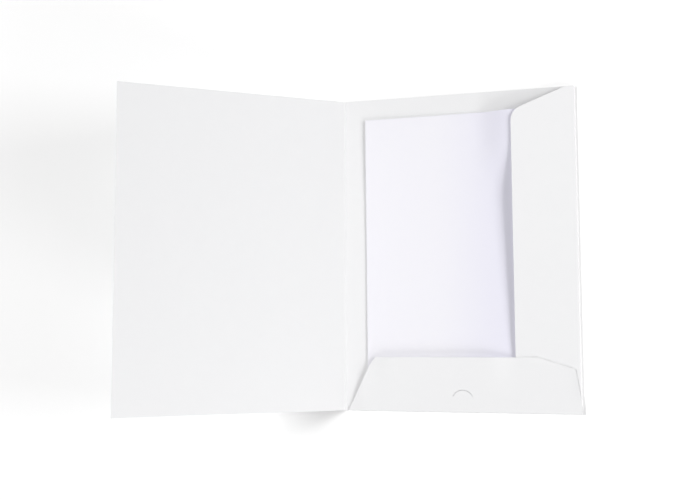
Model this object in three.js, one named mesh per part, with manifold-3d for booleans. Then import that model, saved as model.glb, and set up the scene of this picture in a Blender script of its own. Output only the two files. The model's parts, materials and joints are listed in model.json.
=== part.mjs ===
// Presentation folder of plain white card, lying open with a stack of paper in its pocket.
//
// Millimetres, +Z up. The origin is the middle of the back cover's underside, which lies on the
// table. +Y runs up along the spine to the folder's top edge, +X away from the spine.
// The folder is one creased and folded card. It is two solids here, because the front cover
// turns on the back cover at the spine.
import * as THREE from "three";
import { mergeVertices } from "three/addons/utils/BufferGeometryUtils.js";
import Module from "manifold-3d";

const wasm = await Module();
wasm.setup();

// The card and its covers
const coverWidth = 235;
const coverHeight = 320;
const cardThickness = 0.45;
const openingRise = 37.8; // degrees that the front cover stands up from the table

// The crease at the spine, a low bead on the inner face
const beadHeight = 0.25;
const beadWidth = 1.6;
const creaseHalfGap = 0.2;
const creaseClearance = 0.15;

// The stack of paper
const sheetWidth = 210;
const sheetHeight = 297;
const sheetThickness = 0.1;
const sheetCount = 10;
const stackTurn = 0.3; // degrees, to the left at the top
const layGap = 0.3; // air under and over the stack

// The flap along the outer edge
const sideFlapWidth = 62;
const sideFlapTopInset = 1;
const sideFlapLevelRun = 9.5;
const sideFlapSlopeDrop = 22;
const sideFlapCornerRadius = 15;
const sideFlapFootInset = 7;
const sideFlapFootDrop = 16;
const sideFlapLift = 9.4; // rise of the free edge at the top of the folder

// The flap along the bottom edge, glued over the foot of the side flap
const bottomFlapHeight = 54.2;
const bottomFlapLeftInset = 3.3;
const bottomFlapLeftLean = 22.7;
const bottomFlapLeftCut = 6.2;
const bottomFlapLeftCutDrop = 7.5;
const bottomFlapRightReach = 40;
const bottomFlapRightInset = 5.5;
const bottomFlapRightDrop = 11;
const bottomFlapRightFoot = 12.3;
const bottomFlapLeftSag = 0.45; // share of its rise that it loses at the end by the spine
const tightFoldRadius = 0.45; // of the fold's height by the spine, where no paper lies
const glueSink = 0.1;
const drapeLength = 24;

// The half-moon slit in the bottom flap
const slitRadius = 10.6;
const slitFromSpine = 120.5;
const slitCentreHeight = 11.4;
const slitHalfAngle = 66;
const slitWidth = 0.5;

// Steps that the curved stretches are cut into
const foldSteps = 10;
const flapSteps = 8;
const lengthSteps = 24;
const arcSteps = 24;
const cutterHeight = 60;
const cutAllowance = 5; // card left past an outline before it is cut

// Places worked out from the sizes above
const spineX = -coverWidth / 2;
const outerX = coverWidth / 2;
const bottomY = -coverHeight / 2;
const topY = coverHeight / 2;
const midZ = cardThickness / 2;
const stackThickness = sheetThickness * sheetCount;
const sideFoldRadius = stackThickness / 2 + layGap + cardThickness / 2;
const bottomFoldRadius = sideFoldRadius + cardThickness / 2;
const sideFoldX = outerX - sideFoldRadius - cardThickness / 2;
const bottomFoldY = bottomY + bottomFoldRadius + cardThickness / 2;
const sideFlapFlatWidth = sideFoldX - (outerX - sideFlapWidth);
const crease = new THREE.Vector3(spineX, 0, cardThickness + beadHeight + creaseClearance);

function solidOf(geometry) {
  geometry.deleteAttribute("normal");
  geometry.deleteAttribute("uv");
  const merged = mergeVertices(geometry, 1e-4);
  return new wasm.Manifold(
    new wasm.Mesh({
      numProp: 3,
      vertProperties: merged.attributes.position.array,
      triVerts: new Uint32Array(merged.index.array),
    }),
  );
}

function geometryOf(solid) {
  const mesh = solid.getMesh();
  const geometry = new THREE.BufferGeometry();
  geometry.setAttribute("position", new THREE.BufferAttribute(mesh.vertProperties, 3));
  geometry.setIndex(new THREE.BufferAttribute(mesh.triVerts, 1));
  geometry.computeVertexNormals();
  return geometry;
}

// A closed sheet of card. place(a, b, side) gives a point for a and b from 0 to 1, and for side
// from -1 on the card's lower or outer face to 1 on the other.
function bentCard(place, stepsA, stepsB) {
  const geometry = new THREE.BoxGeometry(1, 1, 2, stepsA, stepsB, 1);
  const points = geometry.attributes.position;
  for (let i = 0; i < points.count; i++) {
    const at = place(points.getX(i) + 0.5, points.getY(i) + 0.5, points.getZ(i));
    points.setXYZ(i, at.x, at.y, at.z);
  }
  return solidOf(geometry);
}

// An upright prism over a plan outline, from a height upwards
function prism(shape, fromZ, height) {
  const options = { depth: height, bevelEnabled: false, curveSegments: arcSteps };
  return solidOf(new THREE.ExtrudeGeometry(shape, options).translate(0, 0, fromZ));
}

// How far the side flap's middle surface has risen above its fold at a place in plan
function sideRise(x, y) {
  const alongSpine = (y - bottomY) / coverHeight;
  const across = (sideFoldX - x) / sideFlapFlatWidth;
  return sideFlapLift * alongSpine * Math.max(across, 0);
}

// The bottom flap lies on the side flap's foot, then sinks a little towards the spine.
function bottomRise(x, y) {
  const flapEdgeX = outerX - sideFlapWidth;
  const past = THREE.MathUtils.clamp((flapEdgeX + drapeLength - x) / drapeLength, 0, 1);
  const easedX = flapEdgeX + drapeLength * (1 - past + (past * past) / 2);
  const towardsSpine = Math.max(flapEdgeX - x, 0) / (flapEdgeX - spineX);
  return sideRise(Math.max(x, easedX), y) * (1 - bottomFlapLeftSag * towardsSpine);
}

// One side of a fold and its flap, met by going along the card from the panel: first round the
// fold, then along the flap. Gives the distance in from the fold and the height. The fold is
// round where rise equals radius, and pressed flatter where it is less.
function foldedSection(way, side, radius, rise, flapLength) {
  const foldShare = foldSteps / (foldSteps + flapSteps);
  const offset = (side * cardThickness) / 2;
  if (way <= foldShare) {
    const turn = (way / foldShare) * Math.PI;
    const inward = -(radius - offset) * Math.sin(turn);
    return { inward, z: midZ + rise - (rise - offset) * Math.cos(turn) };
  }
  const along = (way - foldShare) / (1 - foldShare);
  return { inward: along * flapLength, z: midZ + 2 * rise - offset };
}

// The bottom fold is pressed tight at its end by the spine and round where the paper lies in it.
function bottomFoldRise(x) {
  const flapLeftX = spineX + bottomFlapLeftInset;
  const share = THREE.MathUtils.smoothstep(x, flapLeftX, sideFoldX - sheetWidth);
  return THREE.MathUtils.lerp(tightFoldRadius, bottomFoldRadius, share);
}

function sideFlap() {
  const outline = new THREE.Shape();
  const freeX = outerX - sideFlapWidth;
  const levelX = outerX - sideFlapLevelRun;
  const flapTopY = topY - sideFlapTopInset;
  const freeTopY = flapTopY - sideFlapSlopeDrop;
  const slope = new THREE.Vector2(levelX - freeX, sideFlapSlopeDrop);
  const turn = Math.PI / 2 - slope.angle();
  const trim = sideFlapCornerRadius * Math.tan(turn / 2);
  const start = slope.clone().setLength(trim);
  outline.moveTo(outerX + 1, bottomY + sideFlapFootInset);
  outline.lineTo(outerX + 1, flapTopY);
  outline.lineTo(levelX, flapTopY);
  outline.lineTo(freeX + start.x, freeTopY + start.y);
  const centreX = freeX + sideFlapCornerRadius;
  outline.absarc(centreX, freeTopY - trim, sideFlapCornerRadius, Math.PI - turn, Math.PI);
  outline.lineTo(freeX, bottomY + sideFlapFootInset + sideFlapFootDrop);
  const strip = bentCard(
    (a, b, side) => {
      const flapLength = sideFlapFlatWidth + cutAllowance;
      const at = foldedSection(a, side, sideFoldRadius, sideFoldRadius, flapLength);
      const x = sideFoldX - at.inward;
      const y = THREE.MathUtils.lerp(bottomY, topY, b);
      return new THREE.Vector3(x, y, at.z + (at.inward > 0 ? sideRise(x, y) : 0));
    },
    foldSteps + flapSteps,
    lengthSteps,
  );
  return strip.intersect(prism(outline, -1, cutterHeight));
}

function bottomFlap() {
  const outline = new THREE.Shape();
  const leftX = spineX + bottomFlapLeftInset;
  const freeY = bottomY + bottomFlapHeight;
  const leftTopX = leftX + bottomFlapLeftLean;
  outline.moveTo(leftX, bottomY - 1);
  outline.lineTo(leftTopX, freeY - bottomFlapLeftCutDrop);
  outline.lineTo(leftTopX + bottomFlapLeftCut, freeY);
  outline.lineTo(outerX - bottomFlapRightReach, freeY);
  outline.lineTo(outerX - bottomFlapRightInset, freeY - bottomFlapRightDrop);
  outline.lineTo(outerX, bottomY + bottomFlapRightFoot);
  outline.lineTo(outerX, bottomY - 1);
  const flapLength = freeY - bottomFoldY + cutAllowance;
  const strip = bentCard(
    (a, b, side) => {
      const x = THREE.MathUtils.lerp(spineX, outerX, a);
      const at = foldedSection(b, -side, bottomFoldRadius, bottomFoldRise(x), flapLength);
      const y = bottomFoldY + at.inward;
      const rise = at.inward > 0 ? bottomRise(x, y) - bottomRise(x, bottomFoldY) : 0;
      return new THREE.Vector3(x, y, at.z + rise - (at.inward > 0 ? glueSink : 0));
    },
    lengthSteps,
    foldSteps + flapSteps,
  );
  return strip.intersect(prism(outline, -1, cutterHeight)).subtract(halfMoonSlit());
}

function halfMoonSlit() {
  const arc = THREE.MathUtils.degToRad(slitHalfAngle);
  const x = spineX + slitFromSpine;
  const y = bottomY + slitCentreHeight;
  const outline = new THREE.Shape();
  outline.absarc(x, y, slitRadius + slitWidth / 2, Math.PI / 2 - arc, Math.PI / 2 + arc);
  outline.absarc(x, y, slitRadius - slitWidth / 2, Math.PI / 2 + arc, Math.PI / 2 - arc, true);
  return prism(outline, cardThickness + layGap + stackThickness, cutterHeight);
}

// A cover seen along the spine: a flat card with the bead and a rounded edge at the crease.
// It runs from the crease towards +X, and its outer face is at height 0.
function coverSection(length) {
  const halfBead = beadWidth / 2;
  const noseRadius = (cardThickness + beadHeight) / 2;
  const section = new THREE.Shape();
  section.moveTo(creaseHalfGap + noseRadius, 0);
  section.lineTo(length, 0);
  section.lineTo(length, cardThickness);
  section.lineTo(creaseHalfGap + noseRadius + halfBead, cardThickness);
  section.bezierCurveTo(
    creaseHalfGap + noseRadius + halfBead / 2, cardThickness,
    creaseHalfGap + noseRadius + halfBead / 2, cardThickness + beadHeight,
    creaseHalfGap + noseRadius, cardThickness + beadHeight,
  );
  const nose = new THREE.Vector2(creaseHalfGap + noseRadius, noseRadius);
  section.absarc(nose.x, nose.y, noseRadius, Math.PI / 2, (3 * Math.PI) / 2);
  return section;
}

function coverPanel(length, fromY, toY) {
  const options = { depth: toY - fromY, bevelEnabled: false, curveSegments: 6 };
  const geometry = new THREE.ExtrudeGeometry(coverSection(length), options);
  return geometry.rotateX(Math.PI / 2).translate(0, toY, 0);
}

const card = new THREE.MeshStandardMaterial({ color: 0xf4f4f3, roughness: 0.8, metalness: 0 });
const paper = new THREE.MeshStandardMaterial({ color: 0xf0f0fb, roughness: 0.9, metalness: 0 });

function backCover() {
  const panel = coverPanel(sideFoldX - spineX, bottomFoldY, topY).translate(spineX, 0, 0);
  const solid = solidOf(panel).add(sideFlap()).add(bottomFlap());
  const mesh = new THREE.Mesh(geometryOf(solid), card);
  mesh.name = "back_cover";
  return mesh;
}

// The front cover hangs in a group whose origin is the crease that it turns on.
function frontCover() {
  const geometry = coverPanel(coverWidth, bottomY, topY).rotateZ(Math.PI);
  const mesh = new THREE.Mesh(geometry.translate(0, 0, -crease.z), card);
  mesh.name = "front_cover";
  const turning = new THREE.Group();
  turning.position.copy(crease);
  turning.rotation.y = THREE.MathUtils.degToRad(openingRise);
  turning.add(mesh);
  return turning;
}

// The stack lies in the corner of the two folds, turned a little to the left.
function sheets() {
  const turn = THREE.MathUtils.degToRad(stackTurn);
  const outline = new THREE.Shape();
  outline.moveTo(-sheetWidth, 0);
  outline.lineTo(0, 0);
  outline.lineTo(0, sheetHeight);
  outline.lineTo(-sheetWidth, sheetHeight);
  const options = { depth: stackThickness, bevelEnabled: false };
  const geometry = new THREE.ExtrudeGeometry(outline, options).rotateZ(turn);
  const lift = sheetWidth * Math.sin(turn);
  const mesh = new THREE.Mesh(geometry, paper);
  mesh.position.set(sideFoldX, bottomFoldY + lift, cardThickness + layGap);
  mesh.name = "sheets";
  return mesh;
}

const folder = new THREE.Group();
folder.add(backCover(), sheets(), frontCover());

export default folder;
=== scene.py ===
"""Dresses the presentation folder: one creased white card, and the paper in its pocket."""

import json
import math
import random

import bmesh
import bpy
from mathutils import Matrix, Vector


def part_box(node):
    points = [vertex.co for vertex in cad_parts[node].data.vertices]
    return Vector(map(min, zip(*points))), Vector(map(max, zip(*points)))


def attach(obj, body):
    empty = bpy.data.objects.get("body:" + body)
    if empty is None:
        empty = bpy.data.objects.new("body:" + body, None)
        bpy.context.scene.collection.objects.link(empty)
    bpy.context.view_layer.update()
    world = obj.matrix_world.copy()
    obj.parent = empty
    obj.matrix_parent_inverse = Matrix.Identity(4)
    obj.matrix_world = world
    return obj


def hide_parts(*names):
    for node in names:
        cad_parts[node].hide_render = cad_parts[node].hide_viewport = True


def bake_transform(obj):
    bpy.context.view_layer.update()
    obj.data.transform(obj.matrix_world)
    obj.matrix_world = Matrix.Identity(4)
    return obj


bl_info = {
    "name": "Presentation folder",
    "version": (1, 0, 0),
    "blender": (4, 5, 0),
    "location": "View3D > Sidebar > Folder",
    "description": "Builds a white card folder with a stack of paper in its pocket",
    "category": "Object",
}

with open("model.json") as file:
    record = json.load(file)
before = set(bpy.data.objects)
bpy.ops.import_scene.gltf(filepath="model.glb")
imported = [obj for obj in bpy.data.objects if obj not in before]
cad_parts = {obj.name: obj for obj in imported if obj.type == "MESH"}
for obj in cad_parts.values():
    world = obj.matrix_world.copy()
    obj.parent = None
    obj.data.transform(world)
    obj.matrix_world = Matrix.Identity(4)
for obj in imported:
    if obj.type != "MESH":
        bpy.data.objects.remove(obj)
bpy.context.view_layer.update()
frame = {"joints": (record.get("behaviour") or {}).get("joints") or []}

# The frame's places, in metres
crease = Vector(frame["joints"][0]["pos_m"])
back_low, back_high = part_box("back_cover")
stack_low, stack_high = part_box("sheets")
outer_x = back_high.x
bottom_y = back_low.y
top_y = back_high.y
cover_width = outer_x - crease.x
cover_height = top_y - bottom_y
stack_height = stack_high.z - stack_low.z

# Layout of the meshes
grid_step = 0.004
margin_step = grid_step / 2
corner_step = grid_step / 8
fold_steps = 16
crease_steps = 14
round_steps = 10
slit_step = math.radians(3)
leaf_steps = (35, 50)
sharp_angle = math.radians(35)
weld_distance = 2e-6

# Finish of uncoated card and paper
grain_stretch = (1.0, 0.45, 1.0)
fibre_part = 0.55
# Share of the random flecks in the paper's colour; the rest is a painted shade across the sheet
fleck_part = 0.25
tooth_part = 0.3
tooth_scale = 3.1
bump_strength = 0.35
least_roughness = 0.74
fibre_roughness = 0.16
paper_gloss = 0.35


def length(name, description, default):
    return bpy.props.FloatProperty(
        name=name, description=description, default=default, unit="LENGTH", precision=5
    )


def angle(name, description, degrees):
    return bpy.props.FloatProperty(
        name=name, description=description, default=math.radians(degrees), unit="ROTATION"
    )


def power(name, description, default):
    return bpy.props.FloatProperty(
        name=name, description=description, default=default, unit="POWER"
    )


def colour(name, description, default):
    return bpy.props.FloatVectorProperty(
        name=name, description=description, default=default, subtype="COLOR", min=0, max=1
    )


class CardSettings(bpy.types.PropertyGroup):
    thickness: length("Thickness", "Thickness of the card", 0.00045)
    rise: angle("Opening", "How far the front cover stands up from the table", 37.8)
    bead_height: length("Bead height", "Height of the bead in the crease", 0.00042)
    bead_width: length("Bead width", "Width of the bead in the crease", 0.0032)
    bow: length("Bow", "Hollow of the front cover between its edges", 0.0008)
    air: length("Air", "Gap under and over the stack of paper", 0.0003)
    side_width: length("Side flap", "Width of the side flap", 0.062)
    side_lift: length("Side flap lift", "Rise of the side flap's free edge at the top", 0.0094)
    side_inset: length("Side flap inset", "Top edge of the cover to the flap's", 0.001)
    side_level: length("Side flap level run", "Level stretch of the flap's top edge", 0.0095)
    side_drop: length("Side flap slope", "Drop of the flap's slanted top edge", 0.022)
    side_round: length("Side flap corner", "Radius of the flap's free corner", 0.015)
    side_foot: length("Side flap foot", "Foot of the flap above the bottom edge", 0.007)
    side_foot_drop: length("Side flap foot slope", "Slant of the flap's foot", 0.016)
    bottom_height: length("Bottom flap", "Height of the bottom flap", 0.0542)
    left_inset: length("Left inset", "Spine to the bottom flap at the fold", 0.0033)
    left_lean: length("Left lean", "Lean of the bottom flap's left side", 0.0227)
    left_cut: length("Left cut", "Width of the cut left corner", 0.0062)
    left_cut_drop: length("Left cut height", "Height of the cut left corner", 0.0075)
    left_sag: bpy.props.FloatProperty(
        name="Left sag", description="Share of its rise that the left end loses", default=0.85
    )
    spring: length("Spring", "How far the bottom flap's edge stands off the paper", 0.003)
    border: length("Border", "How far the bottom flap's unglued border stands off", 0.0005)
    border_width: length("Border width", "Width of the bottom flap's unglued border", 0.006)
    right_reach: length("Right reach", "Outer edge to the end of the flap's top edge", 0.040)
    right_inset: length("Right inset", "Outer edge to the flap's right corner", 0.0055)
    right_drop: length("Right drop", "Drop of the flap's slanted right end", 0.011)
    right_foot: length("Right foot", "Height where the right side meets the fold", 0.009)
    tight_fold: length("Tight fold", "Half the bottom fold's height by the spine", 0.00045)
    drape: length("Drape", "Length over which the flap bends off the side flap", 0.024)
    slit_radius: length("Slit radius", "Radius of the half-moon slit", 0.0106)
    slit_place: length("Slit place", "Spine to the middle of the slit", 0.1205)
    slit_height: length("Slit height", "Bottom edge to the centre of the slit's arc", 0.0114)
    slit_width: length("Slit width", "Width of the cut", 0.0003)
    slit_reach: angle("Slit reach", "Half of the slit's arc", 66)
    tab_lift: length("Tab lift", "How far the tongue in the slit stands up", 0.0002)
    tint: colour("Card", "Colour of the card", (0.80, 0.80, 0.805))
    shade: colour("Card shade", "Colour of the card's darker fibres", (0.77, 0.77, 0.78))
    edge_tint: colour("Card edge", "Colour of the card's cut edge", (0.78, 0.775, 0.76))


class PaperSettings(bpy.types.PropertyGroup):
    width: length("Width", "Width of a sheet", 0.210)
    height: length("Height", "Height of a sheet", 0.297)
    leaves: bpy.props.IntProperty(name="Sheets", description="Sheets in the stack", default=10)
    share: bpy.props.FloatProperty(
        name="Solid share", description="Share of the stack's height that is paper", default=0.86
    )
    turn: angle("Turn", "Turn of the stack to the left", 0.3)
    stray: length("Stray", "How far a sheet lies out of line", 0.0003)
    stagger: length("Stagger", "How far the top sheet lies below the bottom one", 0.0007)
    seat: length("Seat", "How far the sheets reach into the folds", 0.0003)
    curl: length("Curl", "Lift of the top sheet's free corner", 0.0008)
    curl_from: bpy.props.FloatProperty(
        name="Curl from", description="Share of the sheet's height below the curl", default=0.55
    )
    curl_reach: bpy.props.FloatProperty(
        name="Curl reach", description="Share of the sheet's width that curls", default=0.6
    )
    lean: bpy.props.FloatProperty(
        name="Lean", description="Share of the side flap's rise that the paper follows", default=0.9
    )
    lean_reach: length("Lean reach", "How far from the side flap the paper comes down", 0.036)
    lean_from: length("Lean from", "Bottom edge to where the paper starts to rise", 0.205)
    lean_full: length("Lean full", "Bottom edge to where the paper meets the flap", 0.270)
    tint: colour("Paper", "Colour of the paper", (0.826, 0.818, 0.855))
    # Paper shade is mostly painted shade: across the sheet the paper turns to this darker, bluer
    # colour towards the side flap, standing in for the flap's shade. The same colour also gives the
    # paper's random fibre flecks.
    shade: colour("Paper shade", "Colour of the paper by the side flap", (0.747, 0.738, 0.832))
    # The painted shade on the paper runs between these two places across the sheet
    painted_shade_from: length("Shade from", "Place across where the colour starts to turn", -0.03)
    painted_shade_full: length("Shade full", "Place across where the colour has turned", 0.055)


class StageSettings(bpy.types.PropertyGroup):
    floor_size: length("Floor", "Side of the square floor", 120.0)
    floor_tint: colour("Floor colour", "Colour of the floor", (0.8, 0.8, 0.8))
    glow: bpy.props.FloatProperty(
        name="Glow", description="Light that the floor gives, as a light table does", default=0.19
    )
    sky: bpy.props.FloatProperty(
        name="Sky", description="Strength of the even light from all round", default=0.125
    )
    distance: length("Light distance", "How far away the lights stand", 3.0)
    light_size: length("Light size", "Side of the square lights", 1.0)
    key_distance: length("Key distance", "How far away the key light stands", 4.5)
    key: power("Key light", "Power of the high light on the left", 150)
    right: power("Right light", "Power of the low light on the right", 51)
    near_right: power("Near right light", "Power of the low light at the near right", 42)
    far_right: power("Far right light", "Power of the low light at the far right", 5)


class Wire:
    """A shader socket that takes part in Python arithmetic. Each operation adds its node."""

    def __init__(self, graph, socket):
        self.graph = graph
        self.socket = socket

    def _with(self, operation, left, right):
        if self.socket.type == "RGBA":
            settings = {"data_type": "RGBA", "blend_type": operation}
            sockets = {"Factor_Float": 1.0, "A_Color": left, "B_Color": right}
            return self.graph.add("ShaderNodeMix", settings, sockets, "Result_Color")
        kind = "ShaderNodeVectorMath" if self.socket.type == "VECTOR" else "ShaderNodeMath"
        return self.graph.add(kind, {"operation": operation}, {0: left, 1: right})

    def __add__(self, other):
        return self._with("ADD", self, other)

    def __radd__(self, other):
        return self._with("ADD", other, self)

    def __mul__(self, other):
        return self._with("MULTIPLY", self, other)

    def __rmul__(self, other):
        return self._with("MULTIPLY", other, self)


class Graph:
    """The node tree of one material."""

    def __init__(self, name):
        self.material = bpy.data.materials.new(name)
        self.material.use_nodes = True
        self.tree = self.material.node_tree
        self.tree.nodes.clear()

    def add(self, kind, settings, sockets, output=0):
        """Adds a node: its settings first, then what its sockets hold or are linked to."""
        node = self.tree.nodes.new(kind)
        for name, value in settings.items():
            setattr(node, name, value)
        for key, value in sockets.items():
            self.feed(self.find(node.inputs, key), value)
        return Wire(self, self.find(node.outputs, output)) if node.outputs else None

    def find(self, sockets, key):
        if isinstance(key, int):
            return sockets[key]
        for socket in sockets:
            if key in (socket.identifier, socket.name):
                return socket
        raise KeyError(key)

    def feed(self, socket, value):
        if isinstance(value, Wire):
            self.tree.links.new(value.socket, socket)
        elif isinstance(value, (int, float)) or socket.type != "RGBA":
            socket.default_value = value
        else:
            socket.default_value = (*value, 1.0)

    def place(self):
        """Where a point of the piece lies, in metres."""
        return self.add("ShaderNodeTexCoord", {}, {}, "Object")

    def noise(self, place, cycles, detail=3.0, roughness=0.55):
        """Cloudy values about 0.5, with so many cycles to the metre."""
        sockets = {"Vector": place, "Scale": cycles, "Detail": detail, "Roughness": roughness}
        return self.add("ShaderNodeTexNoise", {"noise_dimensions": "3D"}, sockets, "Fac")

    def ramp(self, value, low, high):
        """Turns a value into a smooth step from 0 at low to 1 at high."""
        settings = {"interpolation_type": "SMOOTHSTEP", "clamp": True}
        sockets = {"Value": value, "From Min": low, "From Max": high}
        return self.add("ShaderNodeMapRange", settings, sockets, "Result")

    def blend(self, mask, first, second):
        settings = {"data_type": "RGBA", "clamp_factor": True}
        sockets = {"Factor_Float": mask, "A_Color": first, "B_Color": second}
        return self.add("ShaderNodeMix", settings, sockets, "Result_Color")

    def finish(self, sockets):
        """Closes the tree with one surface shader, whose sockets hold these values or links."""
        shader = self.add("ShaderNodeBsdfPrincipled", {}, sockets)
        self.add("ShaderNodeOutputMaterial", {}, {"Surface": shader})
        return self.material


def fibre_material(name, tint, shade, fibre_cycles, cloud_cycles, relief, painted_shade_span=None):
    """Uncoated card or paper: faint clouds, short fibres along the grain and a fine tooth.

    Where two places across are given, the colour turns from the tint to the shade between them: a
    painted shade, darker towards the second place, standing in for the shade a nearby part casts.
    """
    graph = Graph(name)
    place = graph.place()
    fibres = graph.noise(place * grain_stretch, fibre_cycles, detail=4.0, roughness=0.6)
    clouds = graph.noise(place, cloud_cycles, detail=2.0)
    tooth = graph.noise(place, fibre_cycles * tooth_scale, detail=2.0)
    mask = fibres * fibre_part + clouds * (1 - fibre_part)
    if painted_shade_span:
        # Painted shade: the colour ramps from the tint to the shade across the piece
        across = graph.add("ShaderNodeSeparateXYZ", {}, {"Vector": place}, "X")
        mask = mask * fleck_part + graph.ramp(across, *painted_shade_span) * (1 - fleck_part)
    height = fibres * (1 - tooth_part) + tooth * tooth_part
    bump = {"Strength": bump_strength, "Distance": relief, "Height": height}
    return graph.finish({
        "Base Color": graph.blend(mask, tint, shade),
        "Roughness": least_roughness + fibres * fibre_roughness,
        "Normal": graph.add("ShaderNodeBump", {}, bump),
        "Specular IOR Level": paper_gloss,
    })


def floor_material(tint, glow):
    """An even pale floor that gives a little light of its own."""
    cloud_cycles = 3.0
    darkening = 0.995
    graph = Graph("pale_floor")
    clouds = graph.noise(graph.place(), cloud_cycles, detail=2.0)
    darker = [value * darkening for value in tint]
    return graph.finish({
        "Base Color": graph.blend(clouds, tint, darker),
        "Roughness": 0.9,
        "Specular IOR Level": 0.1,
        "Emission Color": (1, 1, 1),
        "Emission Strength": glow,
    })


def steps_between(first, last, step):
    """Even places from first to last, about a step apart, with both ends."""
    count = max(1, round(abs(last - first) / step))
    return [first + (last - first) * i / count for i in range(count + 1)]


def smooth(share):
    share = min(max(share, 0.0), 1.0)
    return share * share * (3 - 2 * share)


class CardForm:
    """The middle surface of the folded card, worked out from the settings and the frame."""

    def __init__(self, card):
        self.card = card
        self.middle = card.thickness / 2
        self.side_radius = stack_height / 2 + card.air + self.middle
        self.bottom_radius = self.side_radius + self.middle
        self.side_fold_x = outer_x - self.side_radius - self.middle
        self.bottom_fold_y = bottom_y + self.bottom_radius + self.middle
        self.side_flat = self.side_fold_x - (outer_x - card.side_width)
        self.bottom_flat = bottom_y + card.bottom_height - self.bottom_fold_y
        self.below = crease.z - self.middle
        self.shift = self.below * math.tan(card.rise / 2)
        self.corner_x = crease.x - self.shift
        self.front_length = cover_width + self.shift

    def bottom_fold_rise(self, x):
        """Half the bottom fold's height: tight by the spine, full where the paper lies."""
        left = crease.x + self.card.left_inset
        share = smooth((x - left) / (stack_low.x - left))
        return self.card.tight_fold + (self.bottom_radius - self.card.tight_fold) * share

    def side_rise(self, x, y):
        along = (y - bottom_y) / cover_height
        return self.card.side_lift * along * max(self.side_fold_x - x, 0) / self.side_flat

    def bottom_rise(self, x, y):
        card = self.card
        edge = outer_x - card.side_width
        past = min(max((edge + card.drape - x) / card.drape, 0), 1)
        eased = edge + card.drape * (1 - past + past * past / 2)
        toward_spine = max(edge - x, 0) / (edge - crease.x)
        return self.side_rise(max(x, eased), y) * (1 - card.left_sag * toward_spine)

    def spring_rise(self, x, inward):
        """The bottom flap's free edge springs up between the spine and the side flap."""
        card = self.card
        left = crease.x + card.left_inset + card.left_lean
        edge = outer_x - card.side_width
        hump = smooth((x - left) / card.drape) * smooth((edge - x) / card.drape)
        return card.spring * hump * (inward / self.bottom_flat) ** 2

    def lean(self, x, y, reach):
        """Rise of a sheet that leans on the side flap's inner face and falls away beside it."""
        edge = outer_x - self.card.side_width
        beside = smooth(1 - max(edge - x, 0) / reach)
        return self.side_rise(max(x, edge), y) * beside

    def cover_point(self, s, y):
        """A point of the covers, s metres past the crease, or before it on the front cover."""
        card = self.card
        half = card.bead_width / 2
        if s >= half:
            return Vector((self.corner_x + s, y, self.middle))
        out = Vector((-math.cos(card.rise), 0, math.sin(card.rise)))
        up = Vector((math.sin(card.rise), 0, math.cos(card.rise)))
        if s <= -half:
            along = -s / self.front_length
            high = (y - bottom_y) / cover_height
            hollow = card.bow * math.sin(math.pi * along) * math.sin(math.pi * high)
            return Vector((self.corner_x, y, self.middle)) - s * out - hollow * up
        radius = half / math.tan(card.rise / 2)
        turn = card.rise * (half - s) / card.bead_width
        normal = Vector((math.sin(turn), 0, math.cos(turn)))
        centre = Vector((self.corner_x + half, y, self.middle + radius))
        bead = card.bead_height * (1 + math.cos(math.pi * s / half)) / 2
        return centre - radius * normal + bead * normal

    def side_top(self, inward):
        """Height of the side flap's top end, so far in from its fold."""
        card = self.card
        flap_top = top_y - card.side_inset
        from_free = self.side_flat - inward
        slope = math.atan2(card.side_drop, card.side_width - card.side_level)
        turn = math.pi / 2 - slope
        trim = card.side_round * math.tan(turn / 2)
        start = trim * math.cos(slope)
        free_top = flap_top - card.side_drop
        if from_free < start:
            centre_y = free_top - trim
            across = card.side_round - from_free
            return centre_y + math.sqrt(max(card.side_round**2 - across**2, 0))
        return min(flap_top, free_top + from_free * math.tan(slope))

    def side_foot(self, inward):
        card = self.card
        share = inward / self.side_flat
        return bottom_y + card.side_foot + card.side_foot_drop * share

    def side_point(self, inward, y):
        x = self.side_fold_x - inward
        z = self.middle + 2 * self.side_radius + self.side_rise(x, y)
        return Vector((x, y, z))

    def bottom_left(self, up):
        """Left end of the bottom flap, so far above the bottom edge."""
        card = self.card
        left = crease.x + card.left_inset
        cut_from = card.bottom_height - card.left_cut_drop
        if up <= cut_from:
            return left + card.left_lean * up / cut_from
        share = (up - cut_from) / card.left_cut_drop
        return left + card.left_lean + card.left_cut * share

    def bottom_right(self, up):
        card = self.card
        corner = card.bottom_height - card.right_drop
        if up <= card.right_foot:
            return outer_x
        if up <= corner:
            share = (up - card.right_foot) / (corner - card.right_foot)
            return outer_x - card.right_inset * share
        share = (up - corner) / card.right_drop
        return outer_x - card.right_inset - (card.right_reach - card.right_inset) * share

    def border_rise(self, x, inward):
        """The bottom flap isn't glued right to its edge, so its border stands off a little."""
        card = self.card
        up = inward + self.bottom_fold_y - bottom_y
        over = smooth((x - (outer_x - card.side_width)) / card.border_width)
        from_top = card.bottom_height - up
        from_side = self.bottom_right(up) - x
        inside = min(from_top, from_side) / card.border_width
        return card.border * over * smooth(1 - inside) * smooth(inward / card.drape)

    def bottom_point(self, x, inward):
        y = self.bottom_fold_y + inward
        rise = self.bottom_rise(x, y) - self.bottom_rise(x, self.bottom_fold_y)
        rise += self.spring_rise(x, inward) + self.border_rise(x, inward)
        return Vector((x, y, self.middle + 2 * self.bottom_fold_rise(x) + rise))


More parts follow.
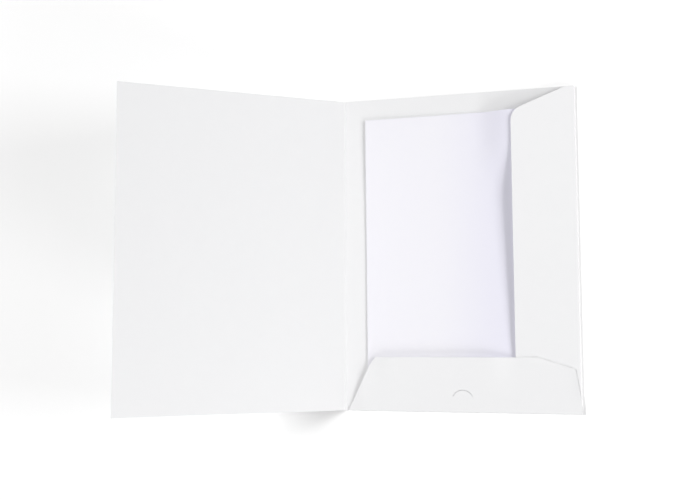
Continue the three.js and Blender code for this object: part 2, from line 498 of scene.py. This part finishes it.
class Sheeting:
    """Gathers grids of points into one surface whose shared edges are joined."""

    def __init__(self):
        self.mesh = bmesh.new()

    def patch(self, rows):
        """Adds a grid, row after row. Seen from its upper side, the rows go up and to the right."""
        corners = [[self.mesh.verts.new(point) for point in row] for row in rows]
        for low, high in zip(corners, corners[1:]):
            for i in range(len(low) - 1):
                self.mesh.faces.new((low[i], low[i + 1], high[i + 1], high[i]))

    def finish(self, name):
        bmesh.ops.remove_doubles(self.mesh, verts=self.mesh.verts, dist=weld_distance)
        data = bpy.data.meshes.new(name)
        self.mesh.to_mesh(data)
        self.mesh.free()
        piece = bpy.data.objects.new(name, data)
        bpy.context.scene.collection.objects.link(piece)
        return piece


def apply_modifiers(piece):
    """Puts the result of a piece's modifiers into its mesh."""
    graph = bpy.context.evaluated_depsgraph_get()
    made = bpy.data.meshes.new_from_object(piece.evaluated_get(graph))
    piece.modifiers.clear()
    piece.data = made


def thicken(piece, thickness):
    """Gives a middle surface its thickness, with the cut edge in the second material."""
    solidify = piece.modifiers.new("thickness", "SOLIDIFY")
    solidify.thickness = thickness
    solidify.offset = 0
    solidify.use_even_offset = True
    solidify.material_offset_rim = 1
    apply_modifiers(piece)


def dress(piece, face, edge):
    """Smooths a thickened piece between its sharp edges, and gives it its two materials."""
    piece.data.shade_smooth()
    piece.data.set_sharp_from_angle(angle=sharp_angle)
    piece.data.materials.clear()
    piece.data.materials.append(face)
    piece.data.materials.append(edge)


def side_flap_rows(card, form, turns, ups):
    """The side fold and flap, whose upper side is the card's outer face, from foot to top."""
    ins = steps_between(0, form.side_flat - card.side_round, grid_step)
    ends = steps_between(0, math.pi / 2, math.pi / 2 / round_steps)[1:]
    ins += [form.side_flat - card.side_round * (1 - math.sin(end)) for end in ends]
    rows = []
    for y in ups:
        up = (y - ups[0]) / (ups[-1] - ups[0])
        row = []
        for turn in turns[:-1]:
            x = form.side_fold_x + form.side_radius * math.sin(turn)
            z = form.middle + form.side_radius * (1 - math.cos(turn))
            row.append(Vector((x, y, z)))
        for inward in ins:
            foot = form.side_foot(inward)
            row.append(form.side_point(inward, foot + (form.side_top(inward) - foot) * up))
        rows.append(row)
    return rows


def bottom_flap_columns(card, form, turns, places):
    """The bottom fold and flap, from left to right, each column from the fold to the free edge."""
    flat_start = form.bottom_fold_y - bottom_y
    breaks = [flat_start, card.right_foot, card.bottom_height - card.right_drop]
    breaks += [card.bottom_height - card.left_cut_drop, card.bottom_height]
    climbs = [flat_start]
    for low, high in zip(breaks, breaks[1:]):
        climbs += steps_between(low, high, margin_step)[1:]
    columns = []
    for s in places:
        x = form.corner_x + s
        share = (s - places[0]) / (places[-1] - places[0])
        column = []
        for turn in turns[:-1]:
            y = form.bottom_fold_y - form.bottom_radius * math.sin(turn)
            z = form.middle + form.bottom_fold_rise(x) * (1 - math.cos(turn))
            column.append(Vector((x, y, z)))
        for up in climbs:
            eased = up - flat_start * (1 - smooth(up / card.right_foot))
            left = form.bottom_left(eased)
            right = form.bottom_right(eased)
            column.append(form.bottom_point(left + (right - left) * share, up - flat_start))
        columns.append(column)
    return columns


def card_surface(card):
    """One sheet of card: front cover, crease, back cover, and the two flaps round their folds."""
    form = CardForm(card)
    sheeting = Sheeting()
    half = card.bead_width / 2
    turns = steps_between(0, math.pi, math.pi / fold_steps)

    # Places up the card and across it that neighbouring grids share
    side_ups = steps_between(form.side_foot(0), form.side_top(0), grid_step)
    low_ups = steps_between(form.bottom_fold_y, side_ups[0], grid_step)
    ups = low_ups[:-1] + side_ups + [top_y]
    flap_left = form.bottom_left(0) - form.corner_x
    fold_line = form.side_fold_x - form.corner_x
    front = steps_between(-form.front_length, -half, grid_step)
    bead = steps_between(-half, half, card.bead_width / crease_steps)
    margin = steps_between(half, flap_left, margin_step)
    panel = steps_between(flap_left, fold_line, grid_step)
    corner = steps_between(fold_line, outer_x - form.corner_x, corner_step)
    spine = front + bead[1:] + margin[1:]

    sheeting.patch([[form.cover_point(s, y) for s in spine] for y in [bottom_y] + ups])
    sheeting.patch([[form.cover_point(s, y) for s in panel] for y in ups])
    sheeting.patch([[form.cover_point(s, y) for s in corner] for y in low_ups])
    sheeting.patch(side_flap_rows(card, form, turns, side_ups))
    columns = bottom_flap_columns(card, form, turns, panel + corner[1:])
    sheeting.patch([list(row) for row in zip(*columns)][::-1])
    return form, sheeting.finish("folder_card")


def slit_cutter(card, centre, low_z):
    """A thin curved wall that stands on the paper where the half-moon slit is cut."""
    wall_height = 0.006
    cutter = bmesh.new()
    high_z = low_z + wall_height
    ring = []
    radii = (card.slit_radius - card.slit_width / 2, card.slit_radius + card.slit_width / 2)
    for way in steps_between(-card.slit_reach, card.slit_reach, slit_step):
        out = Vector((math.sin(way), math.cos(way), 0))
        ring.append([centre + out * radius for radius in radii])
    loops = []
    for inner, outer in ring:
        corners = [(inner, low_z), (outer, low_z), (outer, high_z), (inner, high_z)]
        loops.append([cutter.verts.new((p.x, p.y, z)) for p, z in corners])
    for first, second in zip(loops, loops[1:]):
        for i in range(4):
            j = (i + 1) % 4
            cutter.faces.new((first[i], first[j], second[j], second[i]))
    cutter.faces.new(loops[0][::-1])
    cutter.faces.new(loops[-1])
    bmesh.ops.recalc_face_normals(cutter, faces=cutter.faces)
    data = bpy.data.meshes.new("slit_cutter")
    cutter.to_mesh(data)
    cutter.free()
    piece = bpy.data.objects.new("slit_cutter", data)
    bpy.context.scene.collection.objects.link(piece)
    return piece


def cut_slit(piece, card):
    """Cuts the half-moon slit and lifts its tongue a little."""
    centre = Vector((crease.x + card.slit_place, bottom_y + card.slit_height, 0))
    low_z = stack_high.z + card.air / 4
    cutter = slit_cutter(card, centre, low_z)
    boolean = piece.modifiers.new("slit", "BOOLEAN")
    boolean.operation = "DIFFERENCE"
    boolean.solver = "EXACT"
    boolean.object = cutter
    apply_modifiers(piece)
    bpy.data.objects.remove(cutter)
    inner = card.slit_radius - card.slit_width / 2
    slack = 1e-5
    chord = centre.y + inner * math.cos(card.slit_reach)
    tall = centre.y + inner - chord
    for vertex in piece.data.vertices:
        at = vertex.co
        from_centre = math.hypot(at.x - centre.x, at.y - centre.y)
        if at.z > low_z and at.y > chord and from_centre < inner + slack:
            at.z += card.tab_lift * smooth((at.y - chord) / tall)


class FOLDER_OT_card(bpy.types.Operator):
    """Build the folded card"""

    bl_idname = "folder.card"
    bl_label = "Folded card"

    def execute(self, context):
        card = context.scene.folder_card
        form, piece = card_surface(card)
        thicken(piece, card.thickness)
        cut_slit(piece, card)
        face_tints = (card.tint, card.shade)
        edge_tints = (card.edge_tint, card.shade)
        face = fibre_material(
            "white_card", *face_tints, fibre_cycles=1500, cloud_cycles=90, relief=6e-5
        )
        edge = fibre_material(
            "card_edge", *edge_tints, fibre_cycles=4000, cloud_cycles=300, relief=8e-5
        )
        dress(piece, face, edge)
        half = card.bead_width / 2
        start = (form.corner_x - half, 0, crease.z)
        end = (form.corner_x + half, 0, crease.z)
        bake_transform(piece)
        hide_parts("front_cover", "back_cover")
        return {"FINISHED"}


def leaf_rows(paper, form, index, offset, turn):
    """The middle surface of one sheet, as rows of points from its lower right corner."""
    high = stack_low.z + stack_height / paper.leaves * (index + 0.5)
    corner = Vector((stack_high.x, stack_low.y + paper.width * math.sin(paper.turn), high))
    down = paper.seat + paper.stagger * (index / paper.leaves - 0.5)
    corner = corner + Vector((*offset, 0)) + Vector((paper.seat, -down, 0))
    swing = Matrix.Rotation(paper.turn + turn, 3, "Z")
    upper = ((index + 1) / paper.leaves) ** 2
    rows = []
    for j in range(leaf_steps[1] + 1):
        row = []
        for i in range(leaf_steps[0] + 1):
            across = i / leaf_steps[0]
            up = j / leaf_steps[1]
            spot = corner + swing @ Vector((-paper.width * (1 - across), paper.height * up, 0))
            free = smooth((up - paper.curl_from) / (1 - paper.curl_from))
            free *= smooth(1 - across / paper.curl_reach)
            past = spot.y - bottom_y - paper.lean_from
            risen = smooth(past / (paper.lean_full - paper.lean_from))
            lean = risen * form.lean(spot.x, spot.y, paper.lean_reach)
            lift = paper.curl * free + paper.lean * lean
            row.append(spot + Vector((0, 0, lift * upper)))
        rows.append(row)
    return rows


class FOLDER_OT_paper(bpy.types.Operator):
    """Lay the sheets of paper in the pocket"""

    bl_idname = "folder.paper"
    bl_label = "Stack of paper"

    def execute(self, context):
        paper = context.scene.folder_paper
        form = CardForm(context.scene.folder_card)
        draw = random.Random(7)
        # Painted shade: the paper darkens and turns bluer towards the side flap between these two
        # places across
        painted_shade_span = (paper.painted_shade_from, paper.painted_shade_full)
        tints = (paper.tint, paper.shade)
        face = fibre_material(
            "office_paper", *tints, fibre_cycles=2200, cloud_cycles=120, relief=3e-5, painted_shade_span=painted_shade_span
        )
        edge = fibre_material(
            "paper_edge", *tints, fibre_cycles=5000, cloud_cycles=400, relief=3e-5
        )
        for index in range(paper.leaves):
            offset = (draw.uniform(-1, 0) * paper.stray, draw.uniform(0, 1) * paper.stray)
            turn = draw.uniform(-1, 1) * paper.stray / paper.height
            sheeting = Sheeting()
            sheeting.patch(leaf_rows(paper, form, index, offset, turn))
            leaf = sheeting.finish(f"sheet_{index + 1:02d}")
            thicken(leaf, stack_height / paper.leaves * paper.share)
            dress(leaf, face, edge)
            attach(leaf, "back")
            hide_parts("sheets")
        return {"FINISHED"}


class FOLDER_OT_stage(bpy.types.Operator):
    """Set up the floor, the light and the camera"""

    bl_idname = "folder.stage"
    bl_label = "Stage"

    def execute(self, context):
        stage = context.scene.folder_stage
        self.add_floor(context, stage)
        self.add_light(context, stage)
        self.add_camera(context)
        context.scene.view_settings.view_transform = "Standard"
        return {"FINISHED"}

    def add_floor(self, context, stage):
        half = stage.floor_size / 2
        below = -0.0003
        corners = [(-half, -half), (half, -half), (half, half), (-half, half)]
        data = bpy.data.meshes.new("floor")
        data.from_pydata([(x, y, below) for x, y in corners], [], [(0, 1, 2, 3)])
        floor = bpy.data.objects.new("floor", data)
        data.materials.append(floor_material(stage.floor_tint, stage.glow))
        context.scene.collection.objects.link(floor)

    def add_light(self, context, stage):
        world = bpy.data.worlds.new("even_light")
        world.use_nodes = True
        background = world.node_tree.nodes["Background"]
        background.inputs["Color"].default_value = (1, 1, 1, 1)
        background.inputs["Strength"].default_value = stage.sky
        context.scene.world = world
        # Between the spine and the middle of the back cover
        target = Vector((crease.x * 2 / 3, 0, 0))
        # Power, distance, way round from the right and height, the last two in degrees
        lamps = {
            "key_light": (stage.key, stage.key_distance, 170, 47),
            "right_light": (stage.right, stage.distance, 0, 26),
            "near_right_light": (stage.near_right, stage.distance, -45, 20),
            "far_right_light": (stage.far_right, stage.distance, 45, 28),
        }
        for name, (watts, distance, way, height) in lamps.items():
            lamp = bpy.data.lights.new(name, "AREA")
            lamp.size = stage.light_size
            lamp.energy = watts
            light = bpy.data.objects.new(name, lamp)
            way = math.radians(way)
            height = math.radians(height)
            level = distance * math.cos(height)
            up = distance * math.sin(height)
            light.location = (level * math.cos(way), level * math.sin(way), up)
            aim = target - light.location
            light.rotation_euler = aim.to_track_quat("-Z", "Y").to_euler()
            context.scene.collection.objects.link(light)

    def add_camera(self, context):
        """Looks down on the folder from above its right half, as the photograph does."""
        lens_mm = 49.53
        sensor_mm = 36
        place = Vector((0.1612, -0.0846, 0.9539))
        ahead = Vector((-0.275, 0.089, -0.957)).normalized()
        upward = Vector((0.028, 0.996, 0.085))
        side = ahead.cross(upward).normalized()
        upward = side.cross(ahead)
        turn = Matrix((side, upward, -ahead)).transposed()
        camera = bpy.data.cameras.new("camera")
        camera.lens = lens_mm
        camera.sensor_width = sensor_mm
        viewer = bpy.data.objects.new("camera", camera)
        viewer.matrix_world = Matrix.Translation(place) @ turn.to_4x4()
        context.scene.collection.objects.link(viewer)
        context.scene.camera = viewer


class FOLDER_PT_panel(bpy.types.Panel):
    """The folder's sizes, colours and builders"""

    bl_label = "Presentation folder"
    bl_idname = "FOLDER_PT_panel"
    bl_space_type = "VIEW_3D"
    bl_region_type = "UI"
    bl_category = "Folder"

    def draw(self, context):
        for operator, settings in BUILDERS:
            box = self.layout.box()
            box.operator(operator)
            group = getattr(context.scene, settings)
            for name in type(group).__annotations__:
                box.prop(group, name)


BUILDERS = (
    ("folder.stage", "folder_stage"),
    ("folder.card", "folder_card"),
    ("folder.paper", "folder_paper"),
)
SETTINGS = {
    "folder_card": CardSettings,
    "folder_paper": PaperSettings,
    "folder_stage": StageSettings,
}
CLASSES = (
    CardSettings,
    PaperSettings,
    StageSettings,
    FOLDER_OT_card,
    FOLDER_OT_paper,
    FOLDER_OT_stage,
    FOLDER_PT_panel,
)


def register():
    for cls in CLASSES:
        bpy.utils.register_class(cls)
    for name, group in SETTINGS.items():
        setattr(bpy.types.Scene, name, bpy.props.PointerProperty(type=group))


def unregister():
    for name in SETTINGS:
        delattr(bpy.types.Scene, name)
    for cls in reversed(CLASSES):
        bpy.utils.unregister_class(cls)


def main():
    register()
    bpy.ops.folder.stage()
    bpy.ops.folder.card()
    bpy.ops.folder.paper()


if __name__ == "__main__":
    main()
